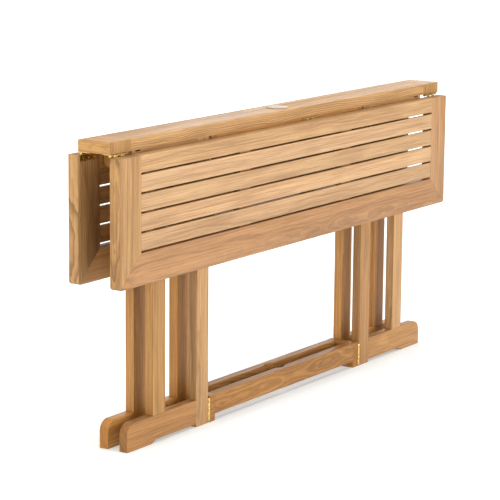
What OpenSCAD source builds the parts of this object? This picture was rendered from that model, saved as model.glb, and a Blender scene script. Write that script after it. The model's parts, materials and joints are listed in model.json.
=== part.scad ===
// Folding drop-leaf table in teak: a narrow fixed centre, two slatted leaves that hang at its
// sides, and four gates that fold flat between the leaves and swing out to carry them.
// +X runs along the table, +Y across it and +Z up. The floor is at Z = 0.
// "near" is the -X end, "far" the +X end, "front" the -Y side and "rear" the +Y side.

/* [Overall] */
// Length of the table
table_l = 1500; // [1440:10:1800]
// Height of the wooden top above the floor
table_h = 735; // [700:5:780]

/* [Centre board] */
// Width of the fixed centre board
centre_w = 90; // [88:1:110]
// Thickness of the centre board and of the leaf frames
board_t = 28; // [26:1:32]
// Length of each end cap, and width of the leaf stiles
cap_w = 80; // [76:1:90]
// Diameter of the hole for an umbrella pole
pole_d = 50; // [40:1:52]
// Diameter of the pole hole plug's flange
plug_d = 56; // [54:1:60]

/* [Leaves] */
// Width of a leaf, which is its height while it hangs
leaf_h = 300; // [280:5:320]
// Gap between the underside of the centre board and a hanging leaf
leaf_drop = 8; // [8:0.5:9]
// Width of the mitred rail along a leaf's free edge
leaf_rail_w = 75.5; // [68:0.5:84]
// Width of the rail along a leaf's hinged edge
hinge_rail_w = 39; // [36:1:44]
// Number of slats in a leaf
slat_count = 4; // [4:1:4]
// Gap between slats
slat_gap = 5; // [4:0.5:9]
// Thickness of the slats
slat_t = 9; // [8:1:12]
// Width of the two battens behind the slats
batten_w = 45; // [40:1:60]
// Distance from the table's middle to each batten
batten_x = 213; // [180:1:240]
// Corner radius of a leaf's free edge
leaf_corner_r = 8; // [4:1:14]

/* [Gates] */
// Gap between the front and rear gates when folded
slot_w = 34; // [32:1:36]
// Thickness of a gate, and of the frame rails
gate_t = 24; // [22:1:24]
// Width of the gate posts along the table
post_w = 48; // [44:1:52]
// Distance from the table's middle to the free end of a foot
toe_x = 681; // [670:1:700]
// Distance from the table's middle to the free end of a gate's top rail
arm_x = 660; // [640:1:664]
// Distance from the table's middle to the outer face of an outer post
outer_post_x = 580; // [560:1:590]
// Height of a foot, and of the stretcher's end blocks
foot_h = 67; // [67:1:80]
// Height of a gate's top rail
arm_h = 48; // [44:1:56]
// Radius at the top of a foot's free end
toe_r = 27; // [20:1:30]
// Radius under the free end of a top rail
arm_r = 17; // [12:1:20]
// Length of the shallow notch in a top rail's upper edge
notch_l = 19; // [10:1:24]
// Depth of the notch
notch_depth = 4; // [2:0.5:5]
// Height of the arch under a foot
foot_arch_h = 8; // [5:1:12]

/* [Frame] */
// Distance from the table's middle to the outer face of an end block
block_x = 349; // [340:1:352]
// Height of the lengthwise rails
rail_h = 50; // [46:1:56]
// Diameter of the pole's passage between the rails
passage_d = 52; // [46:1:56]

/* [Hinges] */
// Diameter of a hinge barrel
barrel_d = 6.4; // [6:0.2:6.4]
// Diameter of a hinge pin
pin_d = 3; // [2.6:0.2:3.4]
// Thickness of the hinge plates
plate_t = 1.8; // [1.6:0.1:1.8]
// Width of a hinge plate, from the pin's axis to its edge
plate_w = 20; // [16:1:21]
// Length of a leaf hinge
leaf_hinge_l = 65; // [60:1:68]
// Length of a gate hinge
gate_hinge_l = 58; // [54:1:60]

/* [Hidden] */
$fn = 48;

// Depth and thickness of tenons, and the shoulder above and below them
tenon_l = 16;
tenon_t = 8;
tenon_shoulder = 6;
slat_tenon_t = 5;
short_tenon_l = 9;
overshoot = 1;

half_l = table_l / 2;
half_w = centre_w / 2;
board_z = table_h - board_t;
cap_x = half_l - cap_w;

// The front leaf hangs between these planes, and the rear leaf is the same turned half round
leaf_in_y = -half_w;
leaf_out_y = leaf_in_y - board_t;
leaf_top_z = board_z - leaf_drop;
leaf_bot_z = leaf_top_z - leaf_h;
hinge_rail_z = leaf_top_z - hinge_rail_w;
outer_rail_z = leaf_bot_z + leaf_rail_w;
slat_w = (hinge_rail_z - outer_rail_z - slat_gap * (slat_count + 1)) / slat_count;

// The axis of the leaf hinges brings a raised leaf flush with the centre board
leaf_axis_z = board_z - leaf_drop / 2 + 0.5;
leaf_axis_y = leaf_in_y + board_z - leaf_axis_z;
leaf_hinge_x = [-half_l + 37, 88, half_l - 37];
leaf_plate_top_z = leaf_top_z - 0.2;

// A gate fills this band of Y on each side when it is folded
gate_in_y = slot_w / 2;
gate_out_y = gate_in_y + gate_t;
gate_mid_y = gate_in_y + gate_t / 2;
gate_top_z = board_z - 0.5;
hinge_gap = 7.5;
pivot_x = block_x + hinge_gap / 2;
hinge_post_x = block_x + hinge_gap;
arm_z = gate_top_z - arm_h;
inner_post_end_x = hinge_post_x + post_w;
foot_pad_x = toe_x - 96;
foot_arch_run = 16;
notch_x = arm_x - 12 - notch_l;

// The stretcher stands on the floor, and the bearer hangs under the centre board
block_t = 23;
rail_end_x = block_x - block_t;
stretcher_rail_z = foot_h - rail_h;
bearer_rail_z = board_z - rail_h;
bearer_block_z = board_z - foot_h;

// Hinge knuckles: the even ones are fixed, and the odd ones move
knuckle_count = 5;
knuckle_gap = 0.35;
fixed_knuckles = [0, 2, 4];
moving_knuckles = [1, 3];
pin_fit = 0.05;
barrel_r = barrel_d / 2;
barrel_relief = barrel_r + 0.4;
gate_hinge_z = [4 + gate_hinge_l / 2, gate_top_z - 8 - gate_hinge_l / 2];

// Screws
screw_head_d = 6.5;
screw_d = 3.4;
screw_l = 13;
screw_edge = 5.2;
screw_pitch = 21;
screw_fit = 0.05;
driver_w = 1;
driver_l = 4.4;
driver_depth = 0.8;

// Pole hole plug
plug_flange_t = 2;
plug_chamfer = 0.8;
plug_depth = 18;
plug_wall = 3;

wood = [0.80, 0.60, 0.38];
end_wood = [0.74, 0.52, 0.31];
brass = [0.85, 0.70, 0.35];
steel = [0.72, 0.72, 0.70];

// ---------- Shared shapes ----------

// A box between two corners
module span(low, high) {
    translate(low) cube(high - low);
}

// An outline drawn in X and Z, given thickness between two planes of Y
module upright(y0, y1) {
    translate([0, y1, 0]) rotate([90, 0, 0]) linear_extrude(y1 - y0) children();
}

// A rod along X about an axis, or along Z
module rod_x(r, x0, x1, y, z) {
    translate([x0, y, z]) rotate([0, 90, 0]) cylinder(r = r, h = x1 - x0);
}

module rod_z(r, z0, z1, x = 0, y = 0) {
    translate([x, y, z0]) cylinder(r = r, h = z1 - z0);
}

module mirror_if(wanted, normal) {
    if (wanted) mirror(normal) children();
    else children();
}

// A shape drawn for the far rear quarter, moved to any quarter of the table
module quarter(near, front) {
    mirror_if(near, [1, 0, 0]) mirror_if(front, [0, 1, 0]) children();
}

// A shape drawn for the front leaf, moved to either side by half a turn
module leaf_side(rear) {
    rotate([0, 0, rear ? 180 : 0]) children();
}

module each_leaf_hinge() {
    for (x = leaf_hinge_x) translate([x, 0, 0]) children();
}

module each_gate_hinge() {
    for (z = gate_hinge_z) translate([0, 0, z]) children();
}

module both_leaves() {
    for (rear = [false, true]) leaf_side(rear) children();
}

module all_gates() {
    for (near = [false, true]) for (front = [false, true]) quarter(near, front) children();
}

// ---------- Screws ----------

// A cone with its wide end at z = 0, as deep as a hinge plate is thick
module countersink(clearance) {
    translate([0, 0, -plate_t])
        cylinder(r1 = screw_d / 2 + clearance, r2 = screw_head_d / 2 + clearance, h = plate_t);
}

// The head fills a countersink in a hinge plate, and the shank points to -Z
module screw() {
    difference() {
        countersink(0);
        for (turn = [0, 90]) rotate([0, 0, turn])
            span([-driver_l / 2, -driver_w / 2, -driver_depth],
                 [driver_l / 2, driver_w / 2, overshoot]);
    }
    rod_z(screw_d / 2, -plate_t - screw_l, -plate_t);
}

// The room that a screw takes in a plate and in the wood behind it
module screw_room() {
    countersink(screw_fit);
    rod_z(screw_head_d / 2 + screw_fit, 0, overshoot);
    rod_z(screw_d / 2, -plate_t - screw_l, -plate_t + overshoot);
}

// ---------- Leaf hinges, drawn about x = 0 for the front leaf ----------

// Where knuckle i of a hinge of length l starts and ends, from the hinge's middle
function knuckle(l, i) =
    let (pitch = l / knuckle_count, start = -l / 2 + i * pitch)
    [start + knuckle_gap / 2, start + pitch - knuckle_gap / 2];

module board_plate_screws() {
    for (i = [-1 : 1])
        translate([i * screw_pitch, leaf_axis_y + plate_w - screw_edge, board_z - plate_t])
            mirror([0, 0, 1]) children();
}

module leaf_plate_screws() {
    for (i = [-1 : 1])
        translate([i * screw_pitch, leaf_in_y + plate_t, leaf_axis_z - plate_w + screw_edge])
            rotate([-90, 0, 0]) children();
}

// The half under the centre board: its plate stops short of the moving knuckles
module leaf_hinge_fixed_half() {
    half = leaf_hinge_l / 2;
    difference() {
        union() {
            span([-half, leaf_axis_y + barrel_relief, board_z - plate_t],
                 [half, leaf_axis_y + plate_w, board_z]);
            for (i = fixed_knuckles) {
                k = knuckle(leaf_hinge_l, i);
                rod_x(barrel_r, k[0], k[1], leaf_axis_y, leaf_axis_z);
                span([k[0], leaf_axis_y, board_z - plate_t],
                     [k[1], leaf_axis_y + barrel_relief + overshoot, leaf_axis_z + barrel_r]);
            }
        }
        rod_x(pin_d / 2, -leaf_hinge_l, leaf_hinge_l, leaf_axis_y, leaf_axis_z);
        board_plate_screws() screw_room();
    }
}

// The half on the leaf's inner face: its plate stops short of the fixed knuckles
module leaf_hinge_moving_half() {
    half = leaf_hinge_l / 2;
    difference() {
        union() {
            span([-half, leaf_in_y, leaf_axis_z - plate_w],
                 [half, leaf_in_y + plate_t, leaf_plate_top_z]);
            for (i = moving_knuckles) {
                k = knuckle(leaf_hinge_l, i);
                rod_x(barrel_r, k[0], k[1], leaf_axis_y, leaf_axis_z);
                span([k[0], leaf_axis_y - barrel_r, leaf_plate_top_z - overshoot],
                     [k[1], leaf_in_y + plate_t, leaf_axis_z]);
            }
        }
        rod_x(pin_d / 2 + pin_fit, -leaf_hinge_l, leaf_hinge_l, leaf_axis_y, leaf_axis_z);
        leaf_plate_screws() screw_room();
    }
}

// ---------- Gate hinges, drawn about z = 0 for the far rear gate ----------

// Screws down a plate whose outer face is at x; facing is 1 where that face looks to +X
module gate_plate_screws(x, facing) {
    for (i = [-1 : 1])
        translate([x, gate_out_y - plate_w + screw_edge, i * (screw_pitch - 2)])
            rotate([0, 90 * facing, 0]) children();
}

module block_plate_screws() {
    gate_plate_screws(block_x + plate_t, 1) children();
}

module post_plate_screws() {
    gate_plate_screws(hinge_post_x - plate_t, -1) children();
}

// One half of a gate hinge, with its plate between x0 and x1
module gate_hinge_half(x0, x1, knuckles, bore_r) {
    half = gate_hinge_l / 2;
    difference() {
        union() {
            span([x0, gate_out_y - plate_w, -half], [x1, gate_out_y - barrel_relief, half]);
            for (i = knuckles) {
                k = knuckle(gate_hinge_l, i);
                rod_z(barrel_r, k[0], k[1], pivot_x, gate_out_y);
                span([x0, gate_out_y - barrel_relief - overshoot, k[0]], [x1, gate_out_y, k[1]]);
            }
        }
        rod_z(bore_r, -gate_hinge_l, gate_hinge_l, pivot_x, gate_out_y);
        children();
    }
}

module gate_hinge_fixed_half() {
    gate_hinge_half(block_x, block_x + plate_t, fixed_knuckles, pin_d / 2)
        block_plate_screws() screw_room();
}

module gate_hinge_moving_half() {
    gate_hinge_half(hinge_post_x - plate_t, hinge_post_x, moving_knuckles, pin_d / 2 + pin_fit)
        post_plate_screws() screw_room();
}

// ---------- Centre board ----------

module board_screw_room() {
    both_leaves() each_leaf_hinge() board_plate_screws() screw_room();
}

// The tongue of the centre board that enters an end cap
module cap_tongue(near) {
    mirror_if(near, [1, 0, 0])
        span([cap_x - overshoot, -half_w + 14, board_z + 10],
             [cap_x + tenon_l, half_w - 14, table_h - 10]);
}

module centre_board() {
    color(wood) difference() {
        union() {
            span([-cap_x, -half_w, board_z], [cap_x, half_w, table_h]);
            for (near = [false, true]) cap_tongue(near);
        }
        rod_z(pole_d / 2, board_z - overshoot, table_h + overshoot);
        board_screw_room();
    }
}

module end_cap(near) {
    color(end_wood) difference() {
        mirror_if(near, [1, 0, 0])
            span([cap_x, -half_w, board_z], [half_l, half_w, table_h]);
        cap_tongue(near);
        board_screw_room();
    }
}

module end_cap_near() { end_cap(true); }
module end_cap_far() { end_cap(false); }

// A hollow spigot under a flange that rests on the board
module pole_hole_plug() {
    color("ivory") {
        rod_z(plug_d / 2, table_h, table_h + plug_flange_t - plug_chamfer);
        translate([0, 0, table_h + plug_flange_t - plug_chamfer])
            cylinder(r1 = plug_d / 2, r2 = plug_d / 2 - plug_chamfer, h = plug_chamfer);
        difference() {
            rod_z(pole_d / 2, table_h - plug_depth, table_h);
            rod_z(pole_d / 2 - plug_wall, table_h - plug_depth - overshoot, table_h + overshoot);
        }
    }
}

// ---------- Fixed frame: a bearer under the board and a stretcher at the floor ----------

// The tenon at a rear rail's end; the rail stands from z0 to z1
module rail_tenon(near, z0, z1) {
    mirror_if(near, [1, 0, 0])
        span([rail_end_x, gate_mid_y - tenon_t / 2, z0 + tenon_shoulder],
             [rail_end_x + short_tenon_l, gate_mid_y + tenon_t / 2, z1 - tenon_shoulder]);
}

// A lengthwise rail, scooped at mid length to let the pole through
module long_rail(front, z0) {
    z1 = z0 + rail_h;
    mirror_if(front, [0, 1, 0]) difference() {
        union() {
            span([-rail_end_x, gate_in_y, z0], [rail_end_x, gate_out_y, z1]);
            for (near = [false, true]) rail_tenon(near, z0, z1);
        }
        rod_z(passage_d / 2, z0 - overshoot, z1 + overshoot);
    }
}

// Room in the bearer's rails for the middle hinge of each leaf
module middle_hinge_room() {
    half = leaf_hinge_l / 2 + 1;
    both_leaves() translate([leaf_hinge_x[1], 0, 0]) {
        span([-half, -gate_out_y - overshoot, board_z - plate_t],
             [half, leaf_axis_y + plate_w, board_z + overshoot]);
        span([-half, -gate_out_y - overshoot, leaf_axis_z - barrel_relief],
             [half, leaf_axis_y + barrel_relief, board_z + overshoot]);
    }
}

module bearer_rail(front) {
    color(wood) difference() {
        long_rail(front, bearer_rail_z);
        middle_hinge_room();
    }
}

// A block across the ends of two rails, which carries the gates' hinges
module end_block(near, z0, rail_z) {
    color(end_wood) difference() {
        mirror_if(near, [1, 0, 0])
            span([rail_end_x, -gate_out_y, z0], [block_x, gate_out_y, z0 + foot_h]);
        for (front = [false, true])
            mirror_if(front, [0, 1, 0]) rail_tenon(near, rail_z, rail_z + rail_h);
        all_gates() each_gate_hinge() block_plate_screws() screw_room();
    }
}

module bearer_rail_front() { bearer_rail(true); }
module bearer_rail_rear() { bearer_rail(false); }
module bearer_block_near() { end_block(true, bearer_block_z, bearer_rail_z); }
module bearer_block_far() { end_block(false, bearer_block_z, bearer_rail_z); }
module stretcher_rail_front() { color(wood) long_rail(true, stretcher_rail_z); }
module stretcher_rail_rear() { color(wood) long_rail(false, stretcher_rail_z); }
module stretcher_block_near() { end_block(true, 0, stretcher_rail_z); }
module stretcher_block_far() { end_block(false, 0, stretcher_rail_z); }

module leaf_hinge_fixed_plates() {
    color(brass) both_leaves() each_leaf_hinge() leaf_hinge_fixed_half();
}

module leaf_hinge_pins() {
    color(steel) both_leaves() each_leaf_hinge()
        rod_x(pin_d / 2, -leaf_hinge_l / 2, leaf_hinge_l / 2, leaf_axis_y, leaf_axis_z);
}

module gate_hinge_fixed_plates() {
    color(brass) all_gates() each_gate_hinge() gate_hinge_fixed_half();
}

module gate_hinge_pins() {
    color(steel) all_gates() each_gate_hinge()
        rod_z(pin_d / 2, -gate_hinge_l / 2, gate_hinge_l / 2, pivot_x, gate_out_y);
}

module fixed_screws() {
    color(brass) {
        both_leaves() each_leaf_hinge() board_plate_screws() screw();
        all_gates() each_gate_hinge() block_plate_screws() screw();
    }
}

// ---------- Leaves ----------

function slat_z(i) = hinge_rail_z - i * (slat_w + slat_gap);

// A hanging leaf's outline, with its two free corners rounded
module leaf_outline() {
    translate([-half_l, leaf_bot_z + leaf_corner_r]) square([table_l, leaf_h - leaf_corner_r]);
    translate([-half_l + leaf_corner_r, leaf_bot_z])
        square([table_l - 2 * leaf_corner_r, 2 * leaf_corner_r]);
    for (side = [-1, 1])
        translate([side * (half_l - leaf_corner_r), leaf_bot_z + leaf_corner_r])
            circle(r = leaf_corner_r);
}

// A tenon from z0 to z1 at one end of a slat or of the hinge rail, y in from the outer face
module leaf_tenon(near, z0, z1, y, t) {
    mirror_if(near, [1, 0, 0])
        span([cap_x, leaf_out_y + y, z0 + tenon_shoulder],
             [cap_x + tenon_l, leaf_out_y + y + t, z1 - tenon_shoulder]);
}

module hinge_rail_tenon(near) {
    leaf_tenon(near, hinge_rail_z, leaf_top_z, (board_t - tenon_t) / 2, tenon_t);
}

module slat_tenon(near, i) {
    leaf_tenon(near, slat_z(i), slat_z(i) + slat_w, (slat_t - slat_tenon_t) / 2, slat_tenon_t);
}

// A tenon at an end of a batten, upwards or downwards from z
module batten_tenon(near, z, up) {
    mirror_if(near, [1, 0, 0])
        span([batten_x + tenon_shoulder, leaf_out_y + slat_t + 4, up ? z : z - short_tenon_l],
             [batten_x + batten_w - tenon_shoulder, leaf_in_y - 5, up ? z + short_tenon_l : z]);
}

// A stile is mitred to the outer rail at its foot
module leaf_stile(rear, near) {
    color(end_wood) leaf_side(rear) difference() {
        upright(leaf_out_y, leaf_in_y) intersection() {
            leaf_outline();
            mirror_if(near, [1, 0])
                polygon([[half_l, leaf_bot_z], [half_l, leaf_top_z],
                         [cap_x, leaf_top_z], [cap_x, outer_rail_z]]);
        }
        hinge_rail_tenon(near);
        for (i = [1 : slat_count]) slat_tenon(near, i);
        each_leaf_hinge() leaf_plate_screws() screw_room();
    }
}

module leaf_outer_rail(rear) {
    color(wood) leaf_side(rear) difference() {
        upright(leaf_out_y, leaf_in_y) intersection() {
            leaf_outline();
            polygon([[-half_l, leaf_bot_z], [half_l, leaf_bot_z],
                     [cap_x, outer_rail_z], [-cap_x, outer_rail_z]]);
        }
        for (near = [false, true]) batten_tenon(near, outer_rail_z, false);
    }
}

module leaf_hinge_rail(rear) {
    color(wood) leaf_side(rear) difference() {
        union() {
            span([-cap_x, leaf_out_y, hinge_rail_z], [cap_x, leaf_in_y, leaf_top_z]);
            for (near = [false, true]) hinge_rail_tenon(near);
        }
        for (near = [false, true]) batten_tenon(near, hinge_rail_z, true);
        each_leaf_hinge() leaf_plate_screws() screw_room();
    }
}

// Slat 1 is the one next to the hinge rail
module leaf_slat(rear, i) {
    color(wood) leaf_side(rear) {
        span([-cap_x, leaf_out_y, slat_z(i)], [cap_x, leaf_out_y + slat_t, slat_z(i) + slat_w]);
        for (near = [false, true]) slat_tenon(near, i);
    }
}

module leaf_batten(rear, near) {
    color(wood) leaf_side(rear) {
        mirror_if(near, [1, 0, 0])
            span([batten_x, leaf_out_y + slat_t, outer_rail_z],
                 [batten_x + batten_w, leaf_in_y, hinge_rail_z]);
        batten_tenon(near, outer_rail_z, false);
        batten_tenon(near, hinge_rail_z, true);
    }
}

module leaf_hinge_plates(rear) {
    color(brass) leaf_side(rear) each_leaf_hinge() {
        leaf_hinge_moving_half();
        leaf_plate_screws() screw();
    }
}

module front_leaf_stile_near() { leaf_stile(false, true); }
module front_leaf_stile_far() { leaf_stile(false, false); }
module front_leaf_outer_rail() { leaf_outer_rail(false); }
module front_leaf_hinge_rail() { leaf_hinge_rail(false); }
module front_leaf_slat_1() { leaf_slat(false, 1); }
module front_leaf_slat_2() { leaf_slat(false, 2); }
module front_leaf_slat_3() { leaf_slat(false, 3); }
module front_leaf_slat_4() { leaf_slat(false, 4); }
module front_leaf_batten_near() { leaf_batten(false, true); }
module front_leaf_batten_far() { leaf_batten(false, false); }
module front_leaf_hinge_plates() { leaf_hinge_plates(false); }
module rear_leaf_stile_near() { leaf_stile(true, false); }
module rear_leaf_stile_far() { leaf_stile(true, true); }
module rear_leaf_outer_rail() { leaf_outer_rail(true); }
module rear_leaf_hinge_rail() { leaf_hinge_rail(true); }
module rear_leaf_slat_1() { leaf_slat(true, 1); }
module rear_leaf_slat_2() { leaf_slat(true, 2); }
module rear_leaf_slat_3() { leaf_slat(true, 3); }
module rear_leaf_slat_4() { leaf_slat(true, 4); }
module rear_leaf_batten_near() { leaf_batten(true, false); }
module rear_leaf_batten_far() { leaf_batten(true, true); }
module rear_leaf_hinge_plates() { leaf_hinge_plates(true); }

// ---------- Gates, drawn for the far rear one ----------

// A tenon of the foot or the top rail, into the hinge post
module post_tenon(z0, z1) {
    span([inner_post_end_x - tenon_l, gate_mid_y - tenon_t / 2, z0 + tenon_shoulder],
         [inner_post_end_x, gate_mid_y + tenon_t / 2, z1 - tenon_shoulder]);
}

// The outer post's tenons, into the foot and into the top rail
module outer_post_tenons() {
    for (z = [foot_h - tenon_l, arm_z])
        span([outer_post_x - post_w + tenon_shoulder, gate_mid_y - tenon_t / 2, z],
             [outer_post_x - tenon_shoulder, gate_mid_y + tenon_t / 2, z + tenon_l]);
}

// The outline of a rail with one corner of its free end rounded, above or below
module rounded_rail(x1, z0, z1, r, above) {
    x0 = inner_post_end_x;
    translate([x0, z0]) square([x1 - x0 - r, z1 - z0]);
    translate([x0, above ? z0 : z0 + r]) square([x1 - x0, z1 - z0 - r]);
    translate([x1 - r, above ? z1 - r : z0 + r]) circle(r = r);
}

// The arch under a foot runs from the hinge post to the pad, and slopes down to the pad
module foot_arch() {
    slope = foot_arch_run / foot_arch_h;
    polygon([[hinge_post_x, -overshoot], [foot_pad_x + overshoot * slope, -overshoot],
             [foot_pad_x - foot_arch_run, foot_arch_h], [hinge_post_x, foot_arch_h]]);
}

module gate_hinge_post() {
    color(wood) difference() {
        span([hinge_post_x, gate_in_y, 0], [inner_post_end_x, gate_out_y, gate_top_z]);
        post_tenon(foot_arch_h, foot_h);
        post_tenon(arm_z, gate_top_z);
        each_gate_hinge() post_plate_screws() screw_room();
    }
}

module gate_outer_post() {
    color(wood) {
        span([outer_post_x - post_w, gate_in_y, foot_h], [outer_post_x, gate_out_y, arm_z]);
        outer_post_tenons();
    }
}

// A notch across the upper edge of a top rail, close to its free end
module rail_notch() {
    span([notch_x, gate_in_y - overshoot, gate_top_z - notch_depth],
         [notch_x + notch_l, gate_out_y + overshoot, gate_top_z + overshoot]);
}

module gate_top_rail() {
    color(wood) difference() {
        union() {
            upright(gate_in_y, gate_out_y) rounded_rail(arm_x, arm_z, gate_top_z, arm_r, false);
            post_tenon(arm_z, gate_top_z);
        }
        outer_post_tenons();
        rail_notch();
    }
}

module gate_foot() {
    color(wood) difference() {
        union() {
            upright(gate_in_y, gate_out_y) difference() {
                rounded_rail(toe_x, 0, foot_h, toe_r, true);
                foot_arch();
            }
            post_tenon(foot_arch_h, foot_h);
        }
        outer_post_tenons();
    }
}

module gate_hinge_plates() {
    color(brass) each_gate_hinge() {
        gate_hinge_moving_half();
        post_plate_screws() screw();
    }
}

module gate_near_front_hinge_post() { quarter(true, true) gate_hinge_post(); }
module gate_near_front_outer_post() { quarter(true, true) gate_outer_post(); }
module gate_near_front_top_rail() { quarter(true, true) gate_top_rail(); }
module gate_near_front_foot() { quarter(true, true) gate_foot(); }
module gate_near_front_hinge_plates() { quarter(true, true) gate_hinge_plates(); }
module gate_near_rear_hinge_post() { quarter(true, false) gate_hinge_post(); }
module gate_near_rear_outer_post() { quarter(true, false) gate_outer_post(); }
module gate_near_rear_top_rail() { quarter(true, false) gate_top_rail(); }
module gate_near_rear_foot() { quarter(true, false) gate_foot(); }
module gate_near_rear_hinge_plates() { quarter(true, false) gate_hinge_plates(); }
module gate_far_front_hinge_post() { quarter(false, true) gate_hinge_post(); }
module gate_far_front_outer_post() { quarter(false, true) gate_outer_post(); }
module gate_far_front_top_rail() { quarter(false, true) gate_top_rail(); }
module gate_far_front_foot() { quarter(false, true) gate_foot(); }
module gate_far_front_hinge_plates() { quarter(false, true) gate_hinge_plates(); }
module gate_far_rear_hinge_post() { quarter(false, false) gate_hinge_post(); }
module gate_far_rear_outer_post() { quarter(false, false) gate_outer_post(); }
module gate_far_rear_top_rail() { quarter(false, false) gate_top_rail(); }
module gate_far_rear_foot() { quarter(false, false) gate_foot(); }
module gate_far_rear_hinge_plates() { quarter(false, false) gate_hinge_plates(); }

centre_board();
end_cap_near();
end_cap_far();
pole_hole_plug();
bearer_rail_front();
bearer_rail_rear();
bearer_block_near();
bearer_block_far();
stretcher_rail_front();
stretcher_rail_rear();
stretcher_block_near();
stretcher_block_far();
leaf_hinge_fixed_plates();
leaf_hinge_pins();
gate_hinge_fixed_plates();
gate_hinge_pins();
fixed_screws();
front_leaf_stile_near();
front_leaf_stile_far();
front_leaf_outer_rail();
front_leaf_hinge_rail();
front_leaf_slat_1();
front_leaf_slat_2();
front_leaf_slat_3();
front_leaf_slat_4();
front_leaf_batten_near();
front_leaf_batten_far();
front_leaf_hinge_plates();
rear_leaf_stile_near();
rear_leaf_stile_far();
rear_leaf_outer_rail();
rear_leaf_hinge_rail();
rear_leaf_slat_1();
rear_leaf_slat_2();
rear_leaf_slat_3();
rear_leaf_slat_4();
rear_leaf_batten_near();
rear_leaf_batten_far();
rear_leaf_hinge_plates();
gate_near_front_hinge_post();
gate_near_front_outer_post();
gate_near_front_top_rail();
gate_near_front_foot();
gate_near_front_hinge_plates();
gate_near_rear_hinge_post();
gate_near_rear_outer_post();
gate_near_rear_top_rail();
gate_near_rear_foot();
gate_near_rear_hinge_plates();
gate_far_front_hinge_post();
gate_far_front_outer_post();
gate_far_front_top_rail();
gate_far_front_foot();
gate_far_front_hinge_plates();
gate_far_rear_hinge_post();
gate_far_rear_outer_post();
gate_far_rear_top_rail();
gate_far_rear_foot();
gate_far_rear_hinge_plates();
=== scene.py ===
"""Looks of a folded teak drop-leaf table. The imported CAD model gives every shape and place. This script
softens the boards' edges and gives each board its own cut of teak, with brass hinges and a cream plug."""

import json
import math
import random

import bmesh
import bpy
from mathutils import Matrix, Vector
from mathutils.bvhtree import BVHTree


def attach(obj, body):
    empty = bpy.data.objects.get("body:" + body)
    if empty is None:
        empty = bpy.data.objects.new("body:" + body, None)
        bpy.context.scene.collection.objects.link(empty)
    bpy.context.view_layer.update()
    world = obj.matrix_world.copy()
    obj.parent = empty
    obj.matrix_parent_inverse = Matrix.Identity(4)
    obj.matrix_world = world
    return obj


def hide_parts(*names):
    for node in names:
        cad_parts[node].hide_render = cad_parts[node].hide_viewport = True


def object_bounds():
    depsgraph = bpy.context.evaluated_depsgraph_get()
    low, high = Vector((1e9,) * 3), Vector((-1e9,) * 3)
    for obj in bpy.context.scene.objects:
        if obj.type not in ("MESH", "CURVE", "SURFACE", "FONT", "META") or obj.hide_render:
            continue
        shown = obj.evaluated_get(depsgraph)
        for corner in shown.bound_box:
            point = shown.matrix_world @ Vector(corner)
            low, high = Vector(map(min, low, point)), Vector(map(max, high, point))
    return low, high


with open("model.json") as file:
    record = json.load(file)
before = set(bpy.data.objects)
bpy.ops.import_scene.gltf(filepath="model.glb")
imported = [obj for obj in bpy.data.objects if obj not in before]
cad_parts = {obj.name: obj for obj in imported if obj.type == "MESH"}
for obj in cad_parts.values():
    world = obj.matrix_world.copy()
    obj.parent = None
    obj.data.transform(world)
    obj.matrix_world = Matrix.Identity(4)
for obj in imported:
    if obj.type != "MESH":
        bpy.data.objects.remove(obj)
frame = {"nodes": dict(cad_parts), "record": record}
cad_low, cad_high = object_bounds()

MM = 0.001
table_middle = (cad_low + cad_high) / 2

# ---------- Camera ----------

AZIMUTH = math.radians(-56.233)
ELEVATION = math.radians(10.976)
ROLL = math.radians(0.513)
DISTANCE = 5.625
LENS = 156.8
AIM_FROM_MIDDLE = Vector((0.021, 0.092, -0.013))


def add_camera():
    """A long lens, looking from the near end and a little above."""
    back = Vector((math.sin(AZIMUTH) * math.cos(ELEVATION),
                   -math.cos(AZIMUTH) * math.cos(ELEVATION), math.sin(ELEVATION)))
    level_right = (-back).cross(Vector((0, 0, 1))).normalized()
    level_up = level_right.cross(-back)
    right = math.cos(ROLL) * level_right + math.sin(ROLL) * level_up
    up = -math.sin(ROLL) * level_right + math.cos(ROLL) * level_up
    data = bpy.data.cameras.new("camera")
    data.lens = LENS
    camera = bpy.data.objects.new("camera", data)
    bpy.context.scene.collection.objects.link(camera)
    place = table_middle + AIM_FROM_MIDDLE + DISTANCE * back
    camera.matrix_world = Matrix((
        (right.x, up.x, back.x, place.x),
        (right.y, up.y, back.y, place.y),
        (right.z, up.z, back.z, place.z),
        (0, 0, 0, 1)))
    bpy.context.scene.camera = camera


# ---------- Node helpers ----------

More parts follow.
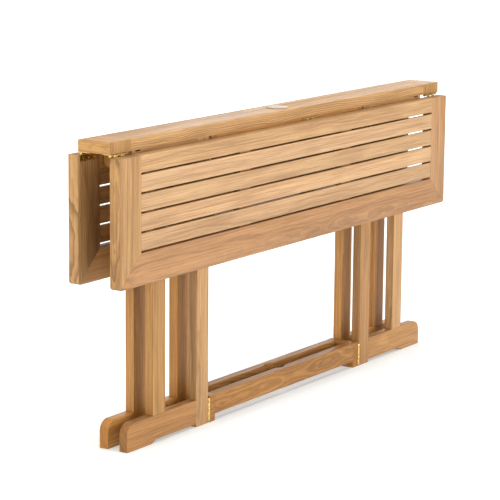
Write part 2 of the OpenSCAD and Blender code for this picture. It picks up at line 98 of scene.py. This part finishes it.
class Nodes:
    """A short way to write a material's nodes."""

    def __init__(self, tree):
        self.tree = tree
        tree.nodes.clear()

    def set(self, socket, value):
        """Links a socket to another node's output, or gives it a value of its own."""
        if isinstance(value, bpy.types.NodeSocket):
            self.tree.links.new(value, socket)
        else:
            socket.default_value = value

    def add(self, kind, settings=None, **inputs):
        """A node of that kind, with its settings and its named inputs."""
        node = self.tree.nodes.new(kind)
        for key, value in (settings or {}).items():
            setattr(node, key, value)
        for key, value in inputs.items():
            self.set(node.inputs[key.replace("_", " ")], value)
        return node

    def in_order(self, kind, operation, *values):
        """The result of a node that does an operation on its first inputs."""
        node = self.add(kind, {"operation": operation})
        for socket, value in zip(node.inputs, values):
            self.set(socket, value)
        return node.outputs[0]

    def math(self, operation, *values):
        return self.in_order("ShaderNodeMath", operation, *values)

    def times(self, a, b):
        return self.math("MULTIPLY", a, b)

    def plus(self, a, b):
        return self.math("ADD", a, b)

    def moved(self, place, by):
        return self.in_order("ShaderNodeVectorMath", "ADD", place, by)

    def vector(self, x, y, z):
        return self.add("ShaderNodeCombineXYZ", X=x, Y=y, Z=z).outputs[0]

    def noise(self, place, scale=1.0, detail=2.0, roughness=0.5):
        node = self.add("ShaderNodeTexNoise", Vector=place, Scale=scale, Detail=detail, Roughness=roughness)
        return node.outputs["Fac"]

    def span(self, value, low, high, to_low=0.0, to_high=1.0):
        """value, taken from the range low to high into another range, and kept inside it."""
        node = self.add("ShaderNodeMapRange", Value=value)
        for key, number in (("From Min", low), ("From Max", high), ("To Min", to_low), ("To Max", to_high)):
            node.inputs[key].default_value = number
        return node.outputs["Result"]

    def mix(self, factor, a, b):
        """Colour a, going over to colour b as factor goes from 0 to 1."""
        node = self.add("ShaderNodeMix", {"data_type": "RGBA"}, Factor=factor)
        colours = [socket for socket in node.inputs if socket.type == "RGBA"]
        self.set(colours[0], a)
        self.set(colours[1], b)
        return next(socket for socket in node.outputs if socket.type == "RGBA")

    def tinted(self, colour, pattern, start, full, amount, tint):
        """A colour with a tint over it, which sets in where the pattern is at start and is fullest where it
        is at full."""
        return self.mix(self.span(pattern, start, full, 0.0, amount), colour, tint)

    def surface(self, colour, rough, relief, strength, depth):
        """The material's shader, with that colour and roughness and a fine relief."""
        bump = self.add("ShaderNodeBump", Height=relief, Strength=strength, Distance=depth)
        shader = self.add("ShaderNodeBsdfPrincipled", Base_Color=colour, Roughness=rough,
                          Normal=bump.outputs[0])
        self.add("ShaderNodeOutputMaterial", Surface=shader.outputs[0])
        return shader


def new_material(name):
    material = bpy.data.materials.new(name)
    material.use_nodes = True
    return material, Nodes(material.node_tree)


def rgb(red, green, blue):
    """A colour given as it looks on a screen, 0 to 255, in the linear values that nodes use."""
    def linear(v):
        v /= 255
        return v / 12.92 if v <= 0.04045 else ((v + 0.055) / 1.055) ** 2.4
    return (linear(red), linear(green), linear(blue), 1.0)


def shade(colour, factor):
    return tuple(min(1.0, c * factor) for c in colour[:3]) + (1.0,)


# ---------- Teak ----------

# For each direction of the grain, the axis along it and the two at right angles to it, which are called
# across and through
GRAIN_AXES = {"X": (0, 1, 2), "Y": (1, 2, 0), "Z": (2, 0, 1)}

# How fine each layer of the figure is, per metre along the grain and per metre across it
BEND = (2.6, 4.0)
RIPPLE = (14.0, 45.0)
STAIN = (4.5, 22.0)
STREAK = (3.0, 170.0)
LINE = (6.0, 480.0)
FIBRE = (14.0, 1100.0)
PORE = (70.0, 1500.0)
END_SPECK = (300.0, 700.0)
WEAR = (9.0, 60.0)

# The same for layers that follow the rings, along the grain and outwards from the pith
BAND = (0.6, 60.0)
SEASON = (0.5, 150.0)

# The waves in the trunk's girth, in radians per metre, and their height in a bold board
SWELL = 14.0
SWELL_DEPTH = 0.006

# Values of a board without any figure, and of the boldest one
BEND_DEPTH = (0.015, 0.065)
RIPPLE_DEPTH = (0.005, 0.012)
RINGS_PER_METRE = (290.0, 170.0)
LATE_WOOD_SHARPNESS = (2.8, 1.6)
LATE_WOOD_SHADE = (0.85, 0.55)
SEASON_DARKNESS = (0.3, 0.6)

TEAK_IOR = 1.47
TEAK_SHEEN = 0.38
TEAK_ROUGHNESS = (0.42, 0.72)
LONGEST_SLIDE = 20.0


def by_boldness(values, boldness):
    plain, bold = values
    return plain + (bold - plain) * boldness


class Grain:
    """Places in a board, along its grain, across it and through it, the last two measured from the pith."""

    def __init__(self, n, axis, middle_of_board, cut, slide):
        self.n = n
        order = GRAIN_AXES[axis]
        turn, distance = cut
        place = n.add("ShaderNodeTexCoord")
        split = n.add("ShaderNodeSeparateXYZ", Vector=n.moved(place.outputs["Object"], -middle_of_board))
        facing = n.add("ShaderNodeSeparateXYZ", Vector=place.outputs["Normal"])
        along, across, through = (split.outputs[i] for i in order)
        self.along = n.plus(along, slide)
        self.across = n.plus(across, distance * math.cos(turn))
        self.through = n.plus(through, distance * math.sin(turn))
        self.end_face = n.span(n.math("ABSOLUTE", facing.outputs[order[0]]), 0.75, 0.95)

    def noise(self, fineness, detail=2.0, roughness=0.5):
        """Noise drawn out along the grain."""
        n = self.n
        lengthwise, crosswise = fineness
        place = n.vector(n.times(self.along, lengthwise), n.times(self.across, crosswise),
                         n.times(self.through, crosswise))
        return n.noise(place, detail=detail, roughness=roughness)

    def ring_noise(self, radius, fineness, detail, roughness=0.5):
        """Noise that changes from ring to ring and hardly along them."""
        n = self.n
        lengthwise, outwards = fineness
        place = n.vector(n.times(radius, outwards), n.times(self.along, lengthwise), 0.0)
        return n.noise(place, detail=detail, roughness=roughness)


def growth_rings(n, grain, boldness):
    """The distance from the pith of a trunk that bends and swells, so that its rings come to the surface in
    long points, and the rings' dark late wood."""
    bend = grain.noise(BEND, detail=1.5)
    swell = n.math("SINE", n.times(grain.along, SWELL))
    ripple = grain.noise(RIPPLE, detail=2.5)
    square = n.plus(n.math("POWER", grain.across, 2.0), n.math("POWER", grain.through, 2.0))
    radius = n.math("SQRT", square)
    radius = n.plus(radius, n.times(bend, by_boldness(BEND_DEPTH, boldness)))
    radius = n.plus(radius, n.times(swell, SWELL_DEPTH * boldness ** 2))
    radius = n.plus(radius, n.times(ripple, by_boldness(RIPPLE_DEPTH, boldness)))
    ring = n.math("FRACT", n.times(radius, by_boldness(RINGS_PER_METRE, boldness)))
    darkening = n.math("POWER", ring, by_boldness(LATE_WOOD_SHARPNESS, boldness))
    late_wood = n.times(darkening, n.span(ring, 0.9, 1.0, 1.0, 0.0))
    return radius, late_wood


def end_grain(n, grain, season, late_wood, middle, dark):
    """End grain drinks more oil, so it is darker, with its rings showing as arcs."""
    colour = n.tinted(shade(middle, 0.8), season, 0.42, 0.62, 1.0, dark)
    colour = n.mix(n.times(late_wood, 0.6), colour, shade(dark, 0.8))
    return n.tinted(colour, grain.noise(END_SPECK), 0.5, 0.8, 0.4, shade(dark, 0.6))


def worn_edges_and_joint_shade(n, grain, colour, light, dark):
    """Handling wears the softened edges pale, unevenly. The bevels in the joints get painted shade, a dark
    tone that stands for the fine shadow lines between boards.
    """
    edge = n.add("ShaderNodeAttribute", {"attribute_name": "edge_kind"}).outputs["Fac"]
    wear = n.span(grain.noise(WEAR, detail=3.0), 0.35, 0.7)
    rubbed = n.times(n.math("MAXIMUM", edge, 0.0), wear)
    colour = n.mix(n.times(rubbed, 0.4), colour, shade(light, 1.12))
    # painted shade: bevels in a joint are mixed towards a very dark tone, for the shadow lines between boards
    joint_shade = n.math("MAXIMUM", n.times(edge, -1.0), 0.0)
    return n.mix(n.times(joint_shade, 0.75), colour, shade(dark, 0.3))


def teak(name, axis, tone, cut, boldness, middle_of_board, seed):
    """Teak with its grain along one axis: growth rings round a pith, streaks, fibres and pores. tone is
    (light, middle, dark). cut is the direction and distance of the board's middle from the pith, which
    settles which faces show pointed figure and which show straight lines. boldness is how strongly the
    rings show."""
    slide = random.Random(seed).uniform(-LONGEST_SLIDE, LONGEST_SLIDE)
    light, middle, dark = tone
    material, n = new_material(name)
    grain = Grain(n, axis, middle_of_board, cut, slide)
    radius, late_wood = growth_rings(n, grain, boldness)
    band = grain.ring_noise(radius, BAND, detail=2.0)
    season = grain.ring_noise(radius, SEASON, detail=3.0, roughness=0.65)
    streak = grain.noise(STREAK, detail=3.0, roughness=0.65)
    line = grain.noise(LINE, roughness=0.6)
    fibre = grain.noise(FIBRE, roughness=0.6)
    pore = n.span(grain.noise(PORE, detail=1.0), 0.62, 0.74)

    colour = n.tinted(light, band, 0.38, 0.62, 1.0, middle)
    colour = n.tinted(colour, grain.noise(STAIN), 0.52, 0.7, 0.4, dark)
    colour = n.tinted(colour, season, 0.5, 0.34, 0.6, light)
    colour = n.tinted(colour, season, 0.5, 0.66, by_boldness(SEASON_DARKNESS, boldness), dark)
    colour = n.tinted(colour, streak, 0.46, 0.32, 0.4, light)
    colour = n.tinted(colour, streak, 0.5, 0.68, 0.45, dark)
    strength = n.span(band, 0.4, 0.6, 0.45 * boldness, min(1.0, 0.15 + boldness))
    late_colour = shade(dark, by_boldness(LATE_WOOD_SHADE, boldness))
    colour = n.mix(n.times(late_wood, strength), colour, late_colour)
    colour = n.tinted(colour, line, 0.5, 0.66, 0.6, dark)
    colour = n.tinted(colour, fibre, 0.48, 0.7, 0.3, dark)
    colour = n.mix(n.times(pore, 0.35), colour, shade(dark, 0.45))
    colour = n.mix(n.times(grain.end_face, 0.8), colour, end_grain(n, grain, season, late_wood, middle, dark))
    colour = worn_edges_and_joint_shade(n, grain, colour, light, dark)

    relief = n.plus(n.times(fibre, 0.5), n.times(late_wood, 0.35))
    relief = n.math("SUBTRACT", relief, n.times(pore, 0.8))
    rough = n.span(n.plus(fibre, n.times(grain.end_face, 0.4)), 0.3, 1.1, *TEAK_ROUGHNESS)
    shader = n.surface(colour, rough, relief, strength=0.35, depth=0.35 * MM)
    shader.inputs["IOR"].default_value = TEAK_IOR
    shader.inputs["Specular IOR Level"].default_value = TEAK_SHEEN
    return material


# ---------- Brass and plastic ----------

BRIGHT_BRASS = rgb(238, 208, 132)
DULL_BRASS = rgb(158, 122, 66)
CLEAN_CREAM = rgb(158, 142, 120)
DIRTY_CREAM = rgb(128, 112, 92)
FINE_RELIEF = 0.05 * MM


def brass(name, seed):
    """Satin brass with a little tarnish and fine drawing marks."""
    material, n = new_material(name)
    place = n.add("ShaderNodeTexCoord").outputs["Object"]
    tarnish = n.noise(n.moved(place, (seed, seed, seed)), scale=160.0, detail=4.0, roughness=0.6)
    marks = n.noise(place, scale=2200.0)
    colour = n.tinted(BRIGHT_BRASS, tarnish, 0.42, 0.75, 1.0, DULL_BRASS)
    rough = n.span(tarnish, 0.3, 0.8, 0.18, 0.42)
    shader = n.surface(colour, rough, marks, strength=0.25, depth=FINE_RELIEF)
    shader.inputs["Metallic"].default_value = 1.0
    return material


def cream_plastic(name):
    """Moulded plastic with a faint spark-eroded texture and a little dirt in it."""
    material, n = new_material(name)
    place = n.add("ShaderNodeTexCoord").outputs["Object"]
    grime = n.noise(place, scale=90.0, detail=4.0)
    pebble = n.noise(place, scale=2600.0)
    colour = n.tinted(CLEAN_CREAM, grime, 0.45, 0.8, 1.0, DIRTY_CREAM)
    rough = n.span(pebble, 0.3, 0.7, 0.34, 0.5)
    n.surface(colour, rough, pebble, strength=0.2, depth=FINE_RELIEF)
    return material


# ---------- Shaping the pieces ----------

# Vertices nearer than WELD are joined, and faces that meet at less than FLAT become one. Edges where faces
# meet at SHARP or more get a bevel
WELD = 0.01 * MM
FLAT = math.radians(0.6)
SHARP = math.radians(35)
BOARD_EDGE = 1.5 * MM
SLAT_EDGE = 0.8 * MM
JOINT_EDGE = 0.5 * MM
HARDWARE_EDGE = 0.25 * MM
BEVEL_STEPS = 3

# An edge with another board this near is in a joint, before its bevel is made and after
TOUCH = 0.2 * MM
BEVELLED_TOUCH = 0.9 * MM


def cleaned(node):
    """A copy of a CAD node's mesh, with its triangles joined into whole faces."""
    mesh = bmesh.new()
    mesh.from_mesh(frame["nodes"][node].data)
    bmesh.ops.remove_doubles(mesh, verts=mesh.verts, dist=WELD)
    bmesh.ops.dissolve_limit(mesh, angle_limit=FLAT, verts=mesh.verts, edges=mesh.edges)
    mesh.normal_update()
    return mesh


def surface_of(node):
    mesh = bmesh.new()
    mesh.from_mesh(frame["nodes"][node].data)
    tree = BVHTree.FromBMesh(mesh)
    mesh.free()
    return tree


def touches(point, surfaces, reach):
    return any(surface.find_nearest(point, reach)[0] is not None for surface in surfaces)


def weigh_edges(mesh, widest, neighbours):
    """Gives sharp edges their part of the widest bevel. Those in a joint get a narrow one, which shows as a
    fine line."""
    weight = mesh.edges.layers.float.new("bevel_weight_edge")
    for edge in mesh.edges:
        if len(edge.link_faces) != 2 or edge.calc_face_angle(0) < SHARP:
            continue
        start, end = (vertex.co for vertex in edge.verts)
        in_joint = touches((start + end) / 2, neighbours, TOUCH)
        edge[weight] = JOINT_EDGE / widest if in_joint else 1.0


def bevelled(node, mesh, widest, material):
    """The mesh with its weighted edges bevelled. Its faces are in material slot 0 and the bevels' in slot 1,
    both with the same material, so that they can be told apart."""
    data = bpy.data.meshes.new(node + "_draft")
    mesh.to_mesh(data)
    data.materials.append(material)
    data.materials.append(material)
    data.polygons.foreach_set("use_smooth", [True] * len(data.polygons))
    draft = bpy.data.objects.new(node + "_draft", data)
    bpy.context.scene.collection.objects.link(draft)
    bevel = draft.modifiers.new("soft_edges", "BEVEL")
    bevel.width = widest
    bevel.segments = BEVEL_STEPS
    bevel.limit_method = "WEIGHT"
    bevel.harden_normals = True
    bevel.material = 1
    bevel.miter_outer = "MITER_ARC"
    depsgraph = bpy.context.evaluated_depsgraph_get()
    final = bpy.data.meshes.new_from_object(draft.evaluated_get(depsgraph), depsgraph=depsgraph)
    bpy.data.objects.remove(draft)
    final.name = node + "_shaped"
    return final


def mark_edges(mesh, neighbours):
    """Stores which faces a bevel made, 1 on an open edge and -1 in a joint, and leaves the mesh one
    material slot."""
    kinds = mesh.attributes.new("edge_kind", "FLOAT", "CORNER")
    values = [0.0] * len(mesh.loops)
    for face in mesh.polygons:
        if face.material_index == 1:
            in_joint = touches(face.center, neighbours, BEVELLED_TOUCH)
            for corner in face.loop_indices:
                values[corner] = -1.0 if in_joint else 1.0
    kinds.data.foreach_set("value", values)
    mesh.polygons.foreach_set("material_index", [0] * len(mesh.polygons))
    while len(mesh.materials) > 1:
        mesh.materials.pop()


def shaped(node, widest, neighbours, material, body):
    """A piece with the CAD node's shape and softened edges, which stands in for the node."""
    mesh = cleaned(node)
    weigh_edges(mesh, widest, neighbours)
    final = bevelled(node, mesh, widest, material)
    mesh.free()
    mark_edges(final, neighbours)
    piece = bpy.data.objects.new(node + "_piece", final)
    bpy.context.scene.collection.objects.link(piece)
    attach(piece, body)
    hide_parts(node)


# ---------- Which wood is where ----------

# In each table, the first entry that is part of a node's name counts

GRAIN_RULES = (
    ("end_cap", "Y"), ("block", "Y"), ("stile", "Z"), ("batten", "Z"), ("post", "Z"),
)
PLAIN_GRAIN = "X"

# The middle tone of each board, with painted shade in the rear leaf's tone, which is darker to stand for the
# shade inside the folded table
TONE_AND_SHADE_RULES = (
    ("centre_board", rgb(185, 141, 87)),
    ("end_cap", rgb(180, 138, 83)),
    ("front_leaf_stile_near", rgb(173, 131, 81)),
    ("front_leaf_outer_rail", rgb(160, 117, 75)),
    ("front_leaf_hinge_rail", rgb(178, 139, 94)),
    ("front_leaf_slat_1", rgb(181, 144, 104)),
    ("front_leaf_slat_2", rgb(180, 143, 101)),
    ("front_leaf_slat_3", rgb(181, 141, 99)),
    ("front_leaf_slat_4", rgb(174, 136, 96)),
    ("front_leaf", rgb(168, 127, 85)),
    ("rear_leaf_stile", rgb(174, 133, 84)),
    # painted shade: the rear leaf's tone is darker for the shade inside the folded table
    ("rear_leaf", rgb(162, 116, 66)),
    ("far_rear_outer_post", rgb(182, 130, 70)),
    ("near_rear_outer_post", rgb(176, 127, 69)),
    ("far_rear", rgb(186, 133, 72)),
    ("near_rear", rgb(182, 129, 64)),
    ("far_front_outer_post", rgb(179, 136, 88)),
    ("near_front_outer_post", rgb(164, 121, 66)),
    ("near_front_hinge_post", rgb(171, 131, 84)),
    ("near_front_foot", rgb(162, 113, 60)),
    ("stretcher_rail", rgb(166, 116, 56)),
    ("gate", rgb(166, 122, 72)),
)
PLAIN_TONE = rgb(168, 117, 58)
LIGHTER = (1.13, 1.16, 1.2)
DARKER = (0.52, 0.44, 0.36)

# Which way a board lies from the pith, as an angle from its across axis to its through axis, and how far
ACROSS = 0.0
THROUGH = math.pi / 2
CUT_RULES = (
    ("centre_board", (0.42, 0.05)),
    ("end_cap", (THROUGH, 0.095)),
    ("stretcher_rail", (ACROSS, 0.034)),
    ("front_leaf_outer_rail", (0.3, 0.058)),
    ("front_leaf_stile_near", (ACROSS, 0.075)),
    ("near_front_outer_post", (ACROSS, 0.04)),
)
NEAREST_CUT = 0.04
FARTHEST_CUT = 0.14

BOLD_RULES = (
    ("end_cap", 0.6), ("stretcher_rail", 1.0), ("centre_board", 0.85), ("outer_rail", 0.4),
    ("stile_near", 0.8), ("slat", 0.2), ("hinge_rail", 0.25),
)
PLAIN_FIGURE = 0.45


def rule(node, rules, otherwise):
    return next((value for part, value in rules if part in node), otherwise)


def is_wood(slot):
    return slot.startswith("teak")


def scaled(colour, factors):
    return tuple(c * f for c, f in zip(colour[:3], factors)) + (1.0,)


def tones_round(middle, rng):
    """Light, middle and dark tones, a little lighter or redder from board to board."""
    value = rng.uniform(0.95, 1.05)
    warmth = rng.uniform(-0.02, 0.02)
    middle = scaled(middle, (value * (1 + warmth), value, value * (1 - warmth * 1.5)))
    return scaled(middle, LIGHTER), middle, scaled(middle, DARKER)


def middle_of(node):
    corners = [vertex.co for vertex in frame["nodes"][node].data.vertices]
    low = Vector(min(c[i] for c in corners) for i in range(3))
    high = Vector(max(c[i] for c in corners) for i in range(3))
    return (low + high) / 2


def teak_for(node, seed):
    """The teak of one board, by the tables above, with a tone and a cut of its own."""
    rng = random.Random(seed)
    tone = tones_round(rule(node, TONE_AND_SHADE_RULES, PLAIN_TONE), rng)
    any_cut = (rng.uniform(0, 2 * math.pi), rng.uniform(NEAREST_CUT, FARTHEST_CUT))
    return teak(node + "_teak", rule(node, GRAIN_RULES, PLAIN_GRAIN), tone, rule(node, CUT_RULES, any_cut),
                rule(node, BOLD_RULES, PLAIN_FIGURE), middle_of(node), seed)


def build_pieces():
    record = frame["record"]
    body_of = {node: body for body, nodes in record["behaviour"]["bodies"].items() for node in nodes}
    slot_of = {part["node"]: part["material_slot"] for part in record["subparts"]}
    boards = {node: surface_of(node) for node in sorted(slot_of) if is_wood(slot_of[node])}
    for seed, node in enumerate(sorted(slot_of)):
        slot = slot_of[node]
        body = body_of[node]
        if is_wood(slot):
            neighbours = [boards[other] for other in boards if other != node and body_of[other] == body]
            widest = SLAT_EDGE if slot == "teak_slat" else BOARD_EDGE
            shaped(node, widest, neighbours, teak_for(node, seed), body)
        elif slot == "plug":
            shaped(node, HARDWARE_EDGE, [], cream_plastic("cream_plastic"), body)
        else:
            shaped(node, HARDWARE_EDGE, [], brass(node + "_brass", seed), body)


# ---------- Studio ----------

WHITE = (1, 1, 1)
WARM_WHITE = (1.0, 0.93, 0.84)
AMBIENT_COLOUR = (1.0, 0.96, 0.89, 1)
AMBIENT_STRENGTH = 0.42

# Each light's name, place, width, height, power and colour
SOFT_BOXES = (
    ("front", (0.4, -4.4, 1.3), 3.0, 2.4, 170, WHITE),
    ("side", (-4.2, 0.5, 1.7), 2.2, 2.4, 78, WARM_WHITE),
    ("fill", (-5.1, -3.4, 1.1), 2.4, 1.8, 75, WARM_WHITE),
    ("top", (0.2, 0.2, 4.2), 3.6, 3.6, 148, WHITE),
    ("back", (5.0, 3.5, 1.7), 3.2, 1.8, 55, WHITE),
)

# The floor glows a little, and more with the distance from the table, which keeps it white
FLOOR_HALF = 40.0
FLOOR_COLOUR = (0.77, 0.82, 0.85, 1)
GLOW_REACH = (1.0, 4.5)
GLOW_STRENGTH = (0.2, 0.8)


def add_floor():
    mesh = bpy.data.meshes.new("floor")
    corners = [(x * FLOOR_HALF, y * FLOOR_HALF, 0.0) for x, y in ((-1, -1), (1, -1), (1, 1), (-1, 1))]
    mesh.from_pydata(corners, [], [(0, 1, 2, 3)])
    floor = bpy.data.objects.new("floor", mesh)
    bpy.context.scene.collection.objects.link(floor)
    material, n = new_material("studio_floor")
    shader = n.add("ShaderNodeBsdfPrincipled")
    shader.inputs["Base Color"].default_value = FLOOR_COLOUR
    shader.inputs["Roughness"].default_value = 0.9
    shader.inputs["Specular IOR Level"].default_value = 0.0
    shader.inputs["Emission Color"].default_value = (1, 1, 1, 1)
    away = n.add("ShaderNodeVectorMath", {"operation": "LENGTH"})
    n.set(away.inputs[0], n.add("ShaderNodeTexCoord").outputs["Object"])
    glow = n.span(away.outputs["Value"], *GLOW_REACH, *GLOW_STRENGTH)
    n.set(shader.inputs["Emission Strength"], glow)
    n.add("ShaderNodeOutputMaterial", Surface=shader.outputs[0])
    mesh.materials.append(material)


def add_soft_box(name, place, width, height, power, colour):
    """A rectangular light that faces the table."""
    light = bpy.data.lights.new(name, "AREA")
    light.color = colour
    light.shape = "RECTANGLE"
    light.size = width
    light.size_y = height
    light.energy = power
    box = bpy.data.objects.new(name, light)
    box.location = place
    box.rotation_euler = (table_middle - Vector(place)).to_track_quat("-Z", "Y").to_euler()
    bpy.context.scene.collection.objects.link(box)


def add_studio():
    world = bpy.data.worlds.new("studio")
    world.use_nodes = True
    background = world.node_tree.nodes["Background"]
    background.inputs["Color"].default_value = AMBIENT_COLOUR
    background.inputs["Strength"].default_value = AMBIENT_STRENGTH
    bpy.context.scene.world = world
    for box in SOFT_BOXES:
        add_soft_box(*box)
    add_floor()
    bpy.context.scene.view_settings.view_transform = "Standard"


add_camera()
add_studio()
build_pieces()
